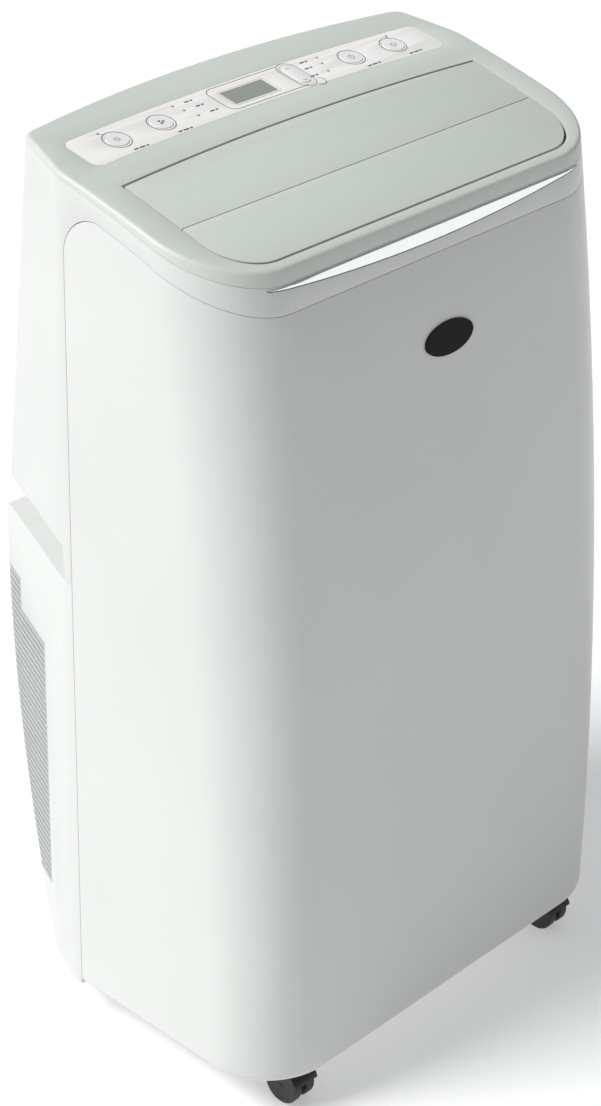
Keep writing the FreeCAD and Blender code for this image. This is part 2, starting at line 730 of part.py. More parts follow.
def louver_motor():
    """Stepper motor on the outside of the duct's right wall, driving the rear blade's stub."""
    y, z = REAR_PIVOT
    x0 = FLAP_HALF_X + 6.8
    body = cyl(10.5, (x0, y - 2.0, z - 9.5), (x0 + 12.0, y - 2.0, z - 9.5))
    plate = box(x0, x0 + 1.8, y - 10, y + 8, z - 22, z - 2.5)
    return fuse([body, plate])


def chrome_trim():
    """Crescent strip on the front band, right under the grey cover's front edge."""
    half, top, low = TRIM
    y0, y1 = -150.0, -120.0
    skin = front_half(-1.0, 690.0, 760.0).cut(front_half(0, 680.0, 770.0))
    shape = extruded([
        line(V(-half, 0, top), V(half, 0, top)),
        arc3(V(half, 0, top), V(0, 0, low), V(-half, 0, top))], V(0, y0, 0), V(0, y1 - y0, 0))
    return skin.common(shape)


def badge_plate():
    """Plain oval name plate, left blank, on the front cover."""
    x, z, half_w, half_h = BADGE
    skin = front_half(-1.4, 560.0, 700.0).cut(front_half(-0.1, 550.0, 710.0))
    ellipse = Part.Ellipse(V(x, -200, z), half_w, half_h)
    ellipse.Axis = V(0, -1, 0)
    return skin.common(extruded([ellipse.toShape()], V(0, 0, 0), V(0, 70, 0)))


# ---- rear fittings ----
def rear_skin(out0, out1):
    """Layer of the upper rear wall between two distances outside it."""
    return upper_rear_half(-out1, 405.0, 795.0).cut(upper_rear_half(-out0, 400.0, 800.0))


def exhaust_collar():
    """Round spigot for the hose connector: a flange on the wall and, at the inner end, a lip with a guard."""
    y0, y1 = COLLAR_Y
    bore_y = y0 + GUARD_T + 1.0
    tube = cyl_y(EXHAUST_R + 3.5, 0, EXHAUST_Z, y0, y1)
    flange = rear_skin(0.2, 2.8).common(cyl_y(EXHAUST_R + 14.0, 0, EXHAUST_Z, 120, 200))
    hollow = [
        cyl_y(EXHAUST_R, 0, EXHAUST_Z, bore_y - 0.5, y1 + 1),
        cyl_y(EXHAUST_R + 1.0, 0, EXHAUST_Z, bore_y - 1.0, bore_y),
        cyl_y(EXHAUST_R - 4.0, 0, EXHAUST_Z, y0 - 1, bore_y)]
    shape = cut_all(fuse([tube, flange]), hollow)
    r = EXHAUST_R - 3.0
    z = EXHAUST_Z
    bars = [box(-r, r, y0, y0 + GUARD_T, z + dz - 1, z + dz + 1) for dz in (-36, -12, 12, 36)]
    bars.append(box(-1, 1, y0, y0 + GUARD_T, z - r, z + r))
    guard = bars[0].multiFuse(bars[1:]).common(cyl_y(r, 0, z, y0 - 1, y1))
    return shape.fuse(guard).removeSplitter()


def intake_grille():
    x0, x1, z0, z1 = INTAKE
    gap = 0.6
    skin = rear_skin(-2.6, -0.2).common(box(x0 + gap, x1 - gap, 80, 200, z0 + gap, z1 - gap))
    pitch, slat = 7.0, 3.0
    count = int((z1 - z0) / pitch)
    bars = [box(-200, 200, 80, 200, z0 + pitch * i, z0 + pitch * i + slat) for i in range(1, count)]
    bars += [box(-200, 200, 80, 200, z0, z0 + 5), box(-200, 200, 80, 200, z1 - 5, z1)]
    bars += [box(x - 2, x + 2, 80, 200, z0, z1) for x in (-72, 0, 72)]
    bars += [box(x0, x0 + 6, 80, 200, z0, z1), box(x1 - 6, x1, 80, 200, z0, z1)]
    grille = skin.common(bars[0].multiFuse(bars[1:]))
    tab = rear_skin(-1.0, 5.0).common(box(-16, 16, 80, 200, z1 - 5.0, z1 - 2.0))
    return grille.fuse(tab).removeSplitter()


def intake_filter():
    """Frame with cross ribs and a thin mesh sheet, right behind the intake grille."""
    x0, x1, z0, z1 = INTAKE
    inset = 3.0
    zone = box(x0 + inset, x1 - inset, 80, 200, z0 + inset, z1 - inset)
    frame = rear_skin(-6.6, -3.2).common(zone)
    windows = []
    columns, rows = 4, 2
    width = (x1 - x0 - 2 * inset - 6.0) / columns
    height = (z1 - z0 - 2 * inset - 6.0) / rows
    for i in range(columns):
        for j in range(rows):
            wx = x0 + inset + 3.0 + i * width
            wz = z0 + inset + 3.0 + j * height
            windows.append(box(wx + 2, wx + width - 2, 80, 200, wz + 2, wz + height - 2))
    sheet = rear_skin(-5.4, -4.6).common(zone)
    return cut_all(frame, windows).fuse(sheet).removeSplitter()


def drain_spigot(x, z, y0, y1):
    return cyl_y(7.0, x, z, y0, y1).cut(cyl_y(5.0, x, z, y0 - 1, y1 + 1))


def drain_cap(x, z, y):
    """Rubber plug: a head over the spigot's mouth and a stem in its bore."""
    head = cyl_y(9.5, x, z, y + 0.1, y + 4.0)
    stem = cyl_y(4.95, x, z, y - 10.0, y + 1.0)
    grip = box(x - 1.2, x + 1.2, y + 3.5, y + 8.0, z - 6, z + 6)
    return fuse([head, stem, grip])


def cord_inlet():
    """Grommet in the rear wall for the supply lead; its bore is empty."""
    x, z = INLET
    y = upper_rear_y(z) - x * x / (2 * REAR_BOW_R)
    body = cyl_y(5.8, x, z, y - 7.5, y + 5.5)
    flanges = [cyl_y(8.5, x, z, y - 7.5, y - 5.9), cyl_y(8.5, x, z, y + 3.0, y + 5.5)]
    return fuse([body] + flanges).cut(cyl_y(3.6, x, z, y - 10, y + 10))


def cord_hooks():
    """Two hooks on the rear wall, turned away from each other, to wind the lead on."""
    hooks = []
    for i, (x, z) in enumerate(HOOKS):
        y = upper_rear_y(z) - x * x / (2 * REAR_BOW_R)
        way = 1 if i == 0 else -1
        end_y = min(y + 24.0, HALF_D - 1.0)
        arm = box(x - 9, x + 9, y - 6, end_y, z - 2, z + 2)
        z0, z1 = sorted((z, z + way * 14.0))
        lip = box(x - 9, x + 9, end_y - 4.0, end_y, z0, z1)
        hook = fuse([arm, lip]).cut(upper_rear_half(-0.2, 405.0, 795.0))
        hooks.append(hook)
    return group(hooks)


# ---- base and casters ----
def base_tray():
    def form(inset):
        return front_half(inset, 39.0, 90.0).fuse(lower_rear_half(inset))
    low, floor, high = TRAY_Z
    shape = form(3.4).common(box(-300, 300, -300, 300, low, high))
    shape = shape.cut(form(6.4).common(box(-300, 300, -300, 300, floor, high + 5)))
    bosses = []
    bores = []
    for s in (-1, 1):
        for y in CASTER_YS.values():
            bosses.append(cyl_z(12.0, s * CASTER_X, y, BODY_BOTTOM + 0.2, 66.0))
            bores.append(cyl_z(STEM_R + RUNNING, s * CASTER_X, y, 20.0, 64.0))
    shape = fuse([shape, float_rod()] + bosses)
    bores.append(cyl_y(7.0, 0, DRAIN_LOW_Z, 60, 200))
    return cut_all(shape, bores)


def caster_fork(x, y):
    """Stem, thrust collar, web and hood of a twin-wheel caster."""
    ay = y - CASTER_TRAIL
    stem = cyl_z(STEM_R, x, y, 30.0, 62.0)
    collar = cyl_z(9.0, x, y, 30.0, BODY_BOTTOM - 0.4)
    web = polygon_x([(ay - 5, WHEEL_R - 5), (ay + 5, WHEEL_R - 5), (y + 6, 30), (y + 6, 34),
                     (ay - 5, 34)], x - 2.2, x + 2.2)
    hood = cyl(WHEEL_R + 2.6, (x - 13, ay, WHEEL_R), (x + 13, ay, WHEEL_R))
    hood = hood.cut(cyl(WHEEL_R + 0.9, (x - 14, ay, WHEEL_R), (x + 14, ay, WHEEL_R)))
    hood = hood.common(box(x - 20, x + 20, ay - 40, ay + 40, WHEEL_R + 6, 60))
    bridge = box(x - 2.2, x + 2.2, ay - 6, y + 6, 33, 36)
    fork = fuse([stem, collar, web, hood, bridge])
    wheel_room = [cyl(WHEEL_R + 0.9, (x + a, ay, WHEEL_R), (x + b, ay, WHEEL_R))
                  for a, b in ((2.3, 14.0), (-14.0, -2.3))]
    fork = cut_all(fork, wheel_room + [cyl(2.5 + RUNNING, (x - 5, ay, WHEEL_R), (x + 5, ay, WHEEL_R))])
    return fork


def caster_wheels(x, y):
    """Two wheels pressed on one axle."""
    ay = y - CASTER_TRAIL
    axle = cyl(2.5, (x - 12.5, ay, WHEEL_R), (x + 12.5, ay, WHEEL_R))
    wheels = []
    for a, b in ((3.0, 12.0), (-12.0, -3.0)):
        wheel = cyl(WHEEL_R, (x + a, ay, WHEEL_R), (x + b, ay, WHEEL_R))
        rims = [e for e in wheel.Edges if len(e.Vertexes) == 1]
        wheel = wheel.makeFillet(2.0, rims)
        wheels.append(wheel.cut(axle))
    return group([axle] + wheels)


# ---- cooling circuit ----
def compressor():
    x, y, r = COMPRESSOR
    plate = cyl_z(r + 4, x, y, 58, 61)
    can = cyl_z(r, x, y, 61, 228).cut(cyl_z(r - 6, x, y, 66, 229))
    plate_and_can = fuse([plate, can])
    cap = cyl_z(r, x, y, 228, 262)
    rim = [e for e in cap.Edges if abs(e.BoundBox.ZMin - 262) < 1e-6 and len(e.Vertexes) == 1]
    cap = cap.makeFillet(22.0, rim)
    return group([plate_and_can, cap])


def around(x, y, radius, count, first=0.0):
    for i in range(count):
        a = first + 2 * math.pi * i / count
        yield x + radius * math.cos(a), y + radius * math.sin(a)


def compressor_grommets():
    x, y, r = COMPRESSOR
    return group([cyl_z(9.0, px, py, TRAY_Z[1], 58.0) for px, py in around(x, y, r - 10, 3, 0.5)])


def terminal_cover():
    x, y, r = COMPRESSOR
    return cyl_z(16.0, x, y, 262, 284).fuse(box(x - 6, x + 6, y - 30, y, 262, 276)).removeSplitter()


def accumulator():
    x, y, r = COMPRESSOR
    can = cyl_z(23.0, x - 90, y, 80, 225)
    return can.makeFillet(8.0, [e for e in can.Edges if len(e.Vertexes) == 1])


def coil(x0, x1, y0, y1, z0, z1):
    """Finned block between two end plates, with hairpin bends on its right side."""
    plate = 1.5
    block = box(x0 + plate, x1 - plate, y0, y1, z0, z1)
    plates = [box(x0, x0 + plate, y0, y1, z0, z1), box(x1 - plate, x1, y0, y1, z0, z1)]
    grooves = []
    count = 40
    step = (x1 - x0 - 2 * plate) / count
    for i in range(count):
        gx = x0 + plate + (i + 0.3) * step
        grooves.append(box(gx, gx + step * 0.4, y0 - 1, y0 + 3, z0 - 1, z1 + 1))
        grooves.append(box(gx, gx + step * 0.4, y1 - 3, y1 + 1, z0 - 1, z1 + 1))
    block = cut_all(block, grooves)
    bends = []
    pitch = 26.0
    for i in range(int((z1 - z0 - 16) / pitch)):
        z = z0 + 14 + i * pitch
        bend = Part.makeTorus(6.5, 2.5, V(x1, (y0 + y1) / 2, z), V(0, 1, 0), 0, 360, 360)
        bends.append(bend.common(box(x1, x1 + 20, y0, y1, z - 20, z + 20)))
    return fuse([block] + plates + bends)


def condenser_coil():
    return coil(-150, 150, 84, 112, 78, 332)


def evaporator_coil():
    return coil(-150, 150, 47, 77, 603, 748)


def drip_tray():
    outer = box(-164, 170, 12, 108, 600, 612)
    inner = box(-162, 168, 14, 106, 602, 613)
    return outer.cut(inner).cut(cyl_z(3.5, DRAIN_UP[0], 95, 590, 610))


def drain_hose():
    x, z = DRAIN_UP
    return pipe([(x, 95, 599.8), (x, 95, z), (x, UP_MOUTH_Y - 34, z)], 4.5)


def refrigerant_pipes():
    x, y, r = COMPRESSOR
    discharge = pipe([(x + 30, y, 262.2), (x + 30, y, 300), (180, y, 300), (180, 98, 300), (161.0, 98, 300)],
                     4.0)
    suction = pipe([(x - 90, y, 225.2), (x - 90, y, 470), (-190, y, 470), (-190, -80, 620), (-190, 62, 620),
                    (-150.5, 62, 620)], 5.0)
    liquid = pipe([(-150.5, 98, 120), (-178, 98, 120), (-178, 40, 120), (-178, 0, 300), (-178, 0, 640),
                   (-178, 55, 650), (-150.5, 55, 650)], 3.0)
    return group([discharge, suction, liquid])


# ---- blowers ----
def fan_wheel(fan, hub_side):
    """Squirrel-cage wheel: back plate, hub, ring of blades and rim, on its shaft."""
    x, z, r, y0, y1 = fan
    plate_y = y0 if hub_side < 0 else y1 - 2.5
    plate = cyl_y(r, x, z, plate_y, plate_y + 2.5)
    rim_y = y1 - 4 if hub_side < 0 else y0
    rim = cyl_y(r, x, z, rim_y, rim_y + 4).cut(cyl_y(r - 9, x, z, rim_y - 1, rim_y + 5))
    hub = cyl_y(13, x, z, y0, y0 + 26) if hub_side < 0 else cyl_y(13, x, z, y1 - 26, y1)
    blades = []
    count = 30
    for i in range(count):
        b = box(x + r - 8.5, x + r - 0.3, y0 + 0.5, y1 - 0.5, z - 0.7, z + 0.7)
        b.rotate(V(x + r - 4.5, 0, z), V(0, 1, 0), 32)
        b.rotate(V(x, 0, z), V(0, 1, 0), 360.0 * i / count)
        blades.append(b)
    wheel = fuse([plate, hub, rim] + blades).common(cyl_y(r, x, z, y0, y1))
    shaft_y0 = y0 - 34 if hub_side < 0 else y1 - 26
    shaft_y1 = y0 + 26 if hub_side < 0 else y1 + 34
    wheel = wheel.cut(cyl_y(4.0, x, z, y0 - 1, y1 + 1))
    return group([wheel, cyl_y(4.0, x, z, shaft_y0, shaft_y1)])


def scroll(fan, outlet_x0, outlet_z, intake_r):
    """Round blower housing with an upward outlet, an intake at the rear and a shaft hole."""
    x, z, r, y0, y1 = fan
    bulge, gap, wall = 18.0, 4.0, 2.0
    outlet_x1 = x + r + bulge
    ya, yb = y0 - gap, y1 + gap
    outer = cyl_y(r + bulge, x, z, ya, yb).fuse(box(outlet_x0, outlet_x1, ya, yb, z, outlet_z))
    inner = cyl_y(r + bulge - wall, x, z, ya + wall, yb - wall)
    inner = inner.fuse(box(outlet_x0 + wall, outlet_x1 - wall, ya + wall, yb - wall, z, outlet_z + 1))
    shape = outer.cut(inner)
    holes = [cyl_y(intake_r, x, z, yb - 4, yb + 1), cyl_y(16.0, x, z, ya - 1, ya + 4)]
    return cut_all(shape, holes).removeSplitter()


def motor(fan, radius):
    x, z, r, y0, y1 = fan
    end = y0 - 4.6
    body = cyl_y(radius, x, z, end - 46, end)
    body = body.makeFillet(4.0, [e for e in body.Edges if len(e.Vertexes) == 1])
    return body.cut(cyl_y(4.0 + RUNNING, x, z, end - 34, end + 1))


def exhaust_duct():
    """Plenum between the condenser blower's outlet and the exhaust collar."""
    y0 = COND_FAN[3] - 4.0
    shape = box(-76, 102, y0, 126, 456, 597).cut(box(-74, 100, y0 + 2, 124, 455, 595))
    neck = cyl_y(EXHAUST_R + 6, 0, EXHAUST_Z, 124, 137.4)
    shape = shape.fuse(neck).cut(cyl_y(EXHAUST_R + 4, 0, EXHAUST_Z, 120, 140))
    floor_left = box(-76, 17.5, y0, 126, 456, 458)
    floor_rear = box(-76, 102, COND_FAN[4] + 4.4, 126, 456, 458)
    return fuse([shape, floor_left, floor_rear])


def splash_wheel():
    """Toothed disc that throws condensate on the coil, on its shaft."""
    x, y, z, r = SPLASH
    disc = cyl_y(r - 6, x, z, y - 1, y + 1)
    teeth = []
    for i in range(12):
        t = box(x + r - 8, x + r, y - 1, y + 1, z - 2, z + 2)
        t.rotate(V(x, 0, z), V(0, 1, 0), 30.0 * i)
        teeth.append(t)
    wheel = fuse([disc] + teeth).cut(cyl_y(2.5, x, z, y - 5, y + 5))
    return group([wheel, cyl_y(2.5, x, z, y - 22, y + 1)])


def splash_motor():
    x, y, z = SPLASH[:3]
    body = cyl_y(17.0, x, z, y - 40, y - 5)
    foot = box(x - 12, x + 12, y - 38, y - 8, TRAY_Z[1], z - 10)
    return fuse([body, foot]).cut(cyl_y(2.5 + RUNNING, x, z, y - 24, y))


def float_switch():
    """Ring float that rides up on the rod when the tray fills."""
    x, y = FLOAT_XY
    return cyl_z(11.0, x, y, 47.0, 58.0).cut(cyl_z(FLOAT_ROD_R + RUNNING, x, y, 40, 70))


def float_rod():
    x, y = FLOAT_XY
    return fuse([cyl_z(FLOAT_ROD_R, x, y, TRAY_Z[1] - 1, 82.0), cyl_z(8.0, x, y, 78.0, 82.0)])


def mid_plate():
    """Shelf that carries the upper blower and closes off the compressor space."""
    shape = front_half(3.4, 470.0, 500.0).common(box(-300, 300, -300, COND_FAN[3] - 5.0, MID_Z, MID_Z + 3))
    holes = [cyl_z(9.0, -178, 0, 400, 600), box(-205, -180, -100, -70, 400, 600)]
    return cut_all(shape, holes)


def side_posts():
    """Two folded uprights between the base tray and the shelf."""
    top = MID_Z - 0.2
    post = box(208, 213, -60, -30, TRAY_Z[1], top).fuse(box(196, 213, -60, -57, TRAY_Z[1], top))
    return group(both_sides(post.removeSplitter()))


def electrics_box():
    x0, x1, y0, y1, z0, z1 = EBOX
    return box(x0, x1, y0, y1, z0, z1).cut(box(x0 + 2, x1 - 2, y0 + 2, y1 + 1, z0 + 2, z1 - 2))


def electrics_lid():
    x0, x1, y0, y1, z0, z1 = EBOX
    return box(x0, x1, y1 + 0.2, y1 + 2.2, z0, z1)


def control_board():
    x0, x1, y0, y1, z0, z1 = EBOX
    board = box(x0 + 4, x1 - 4, y0 + 8, y0 + 9.6, z0 + 4, z1 - 4)
    chips = [box(x0 + 12 + 22 * i, x0 + 26 + 22 * i, y0 + 9.6, y0 + 22, z0 + 20, z0 + 40) for i in range(3)]
    return fuse([board] + chips)


def run_capacitor():
    x0, x1, y0, y1, z0, z1 = EBOX
    return cyl_z(17.0, x0 + 24, y0 + 42, z0 + 2.2, z0 + 80)


def housing_screws():
    """Pan-head screws of the two rear covers, their heads sunk in the walls."""
    places = [(x, z, upper_rear_y(z) - x * x / (2 * REAR_BOW_R)) for x, z in UPPER_SCREWS]
    for x, z in LOWER_SCREWS:
        roll_y = HALF_D - ROLL_R + math.sqrt(ROLL_R ** 2 - (z - (NOTCH_LOW - ROLL_R)) ** 2)
        places.append((x, z, min(roll_y, lower_rear_y(z) - x * x / (2 * REAR_BOW_R))))
    screws = []
    for x, z, y in places:
        head = cyl_y(SCREW_R, x, z, y - 2.4, y - 0.4)
        shank = cyl_y(1.6, x, z, y - 14.0, y - 2.0)
        screws.append(fuse([head, shank]))
    return group(screws)


# ---- write every node ----
def make_all():
    save("front_cover", front_cover())
    save("upper_housing", upper_housing())
    save("lower_rear_cover", lower_rear_cover())
    save("lower_grille", lower_grille())
    save("handle_pockets", group(both_sides(handle_pocket())))
    save("top_cover", top_cover())
    save("control_panel", control_panel())
    save("display_lens", display_lens())
    save("led_lights", led_lights())
    save("display_board", display_board())
    save("key_domes", key_domes())
    for name, x in BUTTONS.items():
        save("button_" + name, button(x))
    save("rocker_key", rocker_key())
    save("louver_rear", blade(FLAP_SPLIT_Y, FLAP_REAR_Y, REAR_PIVOT))
    save("louver_front", blade(FLAP_FRONT_Y, FLAP_SPLIT_Y, FRONT_PIVOT))
    save("louver_link", louver_link())
    save("louver_motor", louver_motor())
    save("outlet_duct", outlet_duct())
    save("chrome_trim", chrome_trim())
    save("badge_plate", badge_plate())
    save("exhaust_collar", exhaust_collar())
    save("exhaust_duct", exhaust_duct())
    save("intake_grille", intake_grille())
    save("intake_filter", intake_filter())
    x, z = DRAIN_UP
    save("drain_hose", group([drain_hose(), drain_spigot(x, z, UP_MOUTH_Y - 33.5, UP_MOUTH_Y),
                              drain_spigot(0, DRAIN_LOW_Z, 96.0, LOW_MOUTH_Y)]))
    save("drain_cap_upper", drain_cap(x, z, UP_MOUTH_Y))
    save("drain_cap_lower", drain_cap(0, DRAIN_LOW_Z, LOW_MOUTH_Y))
    save("cord_inlet", cord_inlet())
    save("cord_hooks", cord_hooks())
    save("base_tray", base_tray())
    for end, y in CASTER_YS.items():
        for side, s in (("left", -1), ("right", 1)):
            tag = end + "_" + side
            save("caster_fork_" + tag, caster_fork(s * CASTER_X, y))
            save("caster_wheels_" + tag, caster_wheels(s * CASTER_X, y))
    save("compressor", compressor())
    save("compressor_grommets", compressor_grommets())
    save("terminal_cover", terminal_cover())
    save("accumulator", accumulator())
    save("condenser_coil", condenser_coil())
    save("evaporator_coil", evaporator_coil())
    save("drip_tray", drip_tray())
    save("refrigerant_pipes", refrigerant_pipes())
    save("condenser_fan", fan_wheel(COND_FAN, -1))
    save("condenser_scroll", scroll(COND_FAN, 18.0, 455.5, 62.0))
    save("evaporator_fan", fan_wheel(EVAP_FAN, -1))
    save("evaporator_scroll", scroll(EVAP_FAN, 12.0, 697.8, 60.0))
    save("fan_motors", group([motor(COND_FAN, 38.0), motor(EVAP_FAN, 36.0), splash_motor()]))
    save("splash_wheel", splash_wheel())
    save("float_switch", float_switch())
    save("shelf_frame", group([mid_plate(), side_posts()]))
    save("electrics_box", group([electrics_box(), electrics_lid()]))
    save("control_board", group([control_board(), run_capacitor()]))
    save("housing_screws", housing_screws())


make_all()
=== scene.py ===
import json
import math

import bmesh
import bpy
from mathutils import Matrix, Vector
from mathutils.bvhtree import BVHTree


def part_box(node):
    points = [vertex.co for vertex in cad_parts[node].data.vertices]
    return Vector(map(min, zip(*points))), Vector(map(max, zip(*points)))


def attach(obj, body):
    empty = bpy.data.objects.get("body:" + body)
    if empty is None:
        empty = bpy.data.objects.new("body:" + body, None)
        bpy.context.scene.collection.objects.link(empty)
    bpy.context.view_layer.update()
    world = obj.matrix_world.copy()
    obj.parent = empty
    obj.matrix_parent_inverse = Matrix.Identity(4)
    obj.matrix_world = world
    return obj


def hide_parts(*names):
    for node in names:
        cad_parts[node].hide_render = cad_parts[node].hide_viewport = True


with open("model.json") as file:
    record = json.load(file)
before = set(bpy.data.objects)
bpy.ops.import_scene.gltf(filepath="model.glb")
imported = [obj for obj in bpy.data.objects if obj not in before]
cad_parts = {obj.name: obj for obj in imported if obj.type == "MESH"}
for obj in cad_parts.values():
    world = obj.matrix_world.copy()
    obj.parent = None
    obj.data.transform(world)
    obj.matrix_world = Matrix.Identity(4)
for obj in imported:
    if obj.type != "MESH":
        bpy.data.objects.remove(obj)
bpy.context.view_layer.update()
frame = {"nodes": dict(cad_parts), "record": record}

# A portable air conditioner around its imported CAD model. Metres, +Z up, front towards -Y.

MM = 0.001
SLOT_OF = {s["node"]: s["material_slot"] for s in frame["record"]["subparts"]}
BODY_OF = {n: b for b, nodes in frame["record"]["behaviour"]["bodies"].items() for n in nodes}
ROOT = "housing"

# The top surface is a circle in side view, through these three points (y, z).
TOP_POINTS = [(0.092, 0.782), (-0.020, 0.7604), (-0.134, 0.7287)]
KEYS = {"power": 0.151, "timer": 0.104, "fan": -0.104, "mode": -0.151}
KEY_TOP = 0.5 * MM
ROCKER_TOP = 0.6 * MM
ROCKER_X = 0.043
STRIP_MIDDLE = 0.0425
STRIP_BOW = 0.007
STRIP_HALF = 0.191
INDICATORS = [(0.079, 0.061), (0.0755, 0.052), (0.071, 0.041)]     # x and y of the lights, on both sides

# Printed marks on the control strip.
INK_RISE = 0.06 * MM
RING_R = 11.2 * MM
RING_LINE = 0.9 * MM
LABEL_LINE = 1.6 * MM
WORD_GAP = 1.2 * MM
KEY_LABEL = (1.5 * MM, -17.0 * MM)          # start of a key's label, from the key's centre
KEY_WORDS = (4.2 * MM, 5.6 * MM, 2.4 * MM)
LIGHT_LABEL = 16.0 * MM                     # from a light to its label's middle
LIGHT_LABEL_HALF = 4.0 * MM
LIGHT_WORDS = (4.4 * MM, 2.6 * MM)
POWER_MARK = [(4.2 * MM, 10.4 * MM), (5.6 * MM, 12.2 * MM)]     # stroke beside the outer keys' rings
OUTLINE = 0.8 * MM
SIGN_LINE = 0.5 * MM
SIGN_BOLD = 0.6 * MM

# Edge rounding of the CAD pieces that are seen, in mm.
EDGE_WIDTHS = {
    "front_cover": 0.35, "upper_housing": 0.35, "lower_rear_cover": 0.35, "top_cover": 0.5,
    "louver_rear": 0.5, "louver_front": 0.5, "control_panel": 0.15, "handle_pockets": 0.4,
    "lower_grille": 0.3, "exhaust_collar": 0.5, "cord_hooks": 0.8, "chrome_trim": 0.2,
    "intake_grille": 0.35, "rocker_key": 0.5, "cord_inlet": 0.3, "drain_cap_upper": 0.5,
    "drain_cap_lower": 0.5, "base_tray": 0.5, "outlet_duct": 0.4}
FORK_EDGE = 0.4 * MM

# Light: a soft key from the left and behind, and an even fill.
KEY_FROM = Vector((-0.60, 0.31, 0.78))
KEY_ENERGY = 3.4
KEY_ANGLE = math.radians(24)
FILL_COLOUR = (0.92, 0.97, 1.0, 1.0)
FILL_STRENGTH = 0.25
WHITE = (1.0, 1.0, 1.0, 1.0)
FLOOR_HALF = 25.0
FLOOR_GLOW = 0.38

# Camera: three-quarter view from the front left and above. CAMERA_WAY goes from its target to it.
CAMERA_WAY = Vector((-0.633, -0.601, 0.488)).normalized()
CAMERA_DISTANCE = 2.242
CAMERA_TARGET = Vector((0.0, 0.009, 0.411))
CAMERA_ROLL = math.radians(1.09)
CAMERA_LENS = 88.34
CAMERA_SHIFT = (0.012, -0.031)
CAMERA_SENSOR = 36.0


# ---- geometry of the top ----
def circle_through(points):
    (y1, z1), (y2, z2), (y3, z3) = points
    d = 2 * (y1 * (z2 - z3) + y2 * (z3 - z1) + y3 * (z1 - z2))
    s1, s2, s3 = y1 * y1 + z1 * z1, y2 * y2 + z2 * z2, y3 * y3 + z3 * z3
    cy = (s1 * (z2 - z3) + s2 * (z3 - z1) + s3 * (z1 - z2)) / d
    cz = (s1 * (y3 - y2) + s2 * (y1 - y3) + s3 * (y2 - y1)) / d
    return cy, cz, math.hypot(y1 - cy, z1 - cz)


TOP_CY, TOP_CZ, TOP_R = circle_through(TOP_POINTS)


def on_top(x, y, up=0.0):
    """Point at a height above the top surface, measured along its normal."""
    z = TOP_CZ + math.sqrt(TOP_R ** 2 - (y - TOP_CY) ** 2)
    normal = Vector((0, (y - TOP_CY) / TOP_R, (z - TOP_CZ) / TOP_R))
    return Vector((x, y, z)) + normal * up


def key_y(x):
    """Depth of the control strip's centre line."""
    return STRIP_MIDDLE + STRIP_BOW * (1 - (x / STRIP_HALF) ** 2)


# ---- material helpers ----
class Nodes:
    """A short way to write a node tree."""

    def __init__(self, name):
        self.material = bpy.data.materials.new(name)
        self.material.use_nodes = True
        self.tree = self.material.node_tree
        self.shader = self.tree.nodes["Principled BSDF"]
        self.place = self.add("ShaderNodeTexCoord").outputs["Object"]

    def add(self, kind, **settings):
        node = self.tree.nodes.new(kind)
        for key, value in settings.items():
            setattr(node, key, value)
        return node

    def link(self, a, b):
        self.tree.links.new(a, b)

    def noise(self, scale, detail=3.0, stretch=None):
        node = self.add("ShaderNodeTexNoise")
        node.inputs["Scale"].default_value = scale
        node.inputs["Detail"].default_value = detail
        place = self.place
        if stretch:
            mapping = self.add("ShaderNodeMapping")
            mapping.inputs["Scale"].default_value = stretch
            self.link(place, mapping.inputs["Vector"])
            place = mapping.outputs["Vector"]
        self.link(place, node.inputs["Vector"])
        return node.outputs["Fac"]

    def ramp(self, value, stops):
        node = self.add("ShaderNodeValToRGB")
        elements = node.color_ramp.elements
        while len(elements) < len(stops):
            elements.new(0.5)
        for element, (at, colour) in zip(elements, stops):
            element.position = at
            element.color = (*colour, 1.0)
        self.link(value, node.inputs["Fac"])
        return node.outputs["Color"]

    def spread(self, value, low, high):
        node = self.add("ShaderNodeMapRange")
        node.inputs["To Min"].default_value = low
        node.inputs["To Max"].default_value = high
        self.link(value, node.inputs["Value"])
        return node.outputs["Result"]

    def bump(self, height, strength, distance, under=None):
        node = self.add("ShaderNodeBump")
        node.inputs["Strength"].default_value = strength
        node.inputs["Distance"].default_value = distance
        self.link(height, node.inputs["Height"])
        if under is not None:
            self.link(under, node.inputs["Normal"])
        return node.outputs["Normal"]

    def multiply(self, a, b, factor=1.0):
        node = self.add("ShaderNodeMix", data_type="RGBA", blend_type="MULTIPLY")
        node.inputs["Factor"].default_value = factor
        self.link(a, node.inputs["A"])
        self.link(b, node.inputs["B"])
        return node.outputs["Result"]

    def set(self, **values):
        for key, value in values.items():
            self.shader.inputs[key.replace("_", " ")].default_value = value

    def finish(self, colour, roughness, normal=None):
        self.link(colour, self.shader.inputs["Base Color"])
        self.link(roughness, self.shader.inputs["Roughness"])
        if normal is not None:
            self.link(normal, self.shader.inputs["Normal"])
        return self.material


def shade(colour, factor):
    return tuple(min(1.0, c * factor) for c in colour)


def moulded(name, colour, rough, grain=1400.0, grain_depth=0.12, coat=0.0, drift=0.02, gloss=0.5):
    """Moulded plastic: a fine spark grain, slow tone drift and a polish that varies a little."""
    n = Nodes(name)
    slow = n.noise(5.0, 2.0)
    tone = n.ramp(slow, [(0.3, shade(colour, 1 - drift)), (0.7, shade(colour, 1 + drift))])
    speck = n.noise(grain * 0.6, 2.0)
    tint = n.ramp(speck, [(0.35, (0.975,) * 3), (0.65, (1.0,) * 3)])
    grain_noise = n.noise(grain, 2.0)
    polish = n.spread(n.noise(60.0, 4.0), rough - 0.05, rough + 0.05)
    normal = n.bump(grain_noise, grain_depth, 0.00008)
    n.set(Coat_Weight=coat, Coat_Roughness=0.12, Specular_IOR_Level=gloss)
    return n.finish(n.multiply(tone, tint), polish, normal)


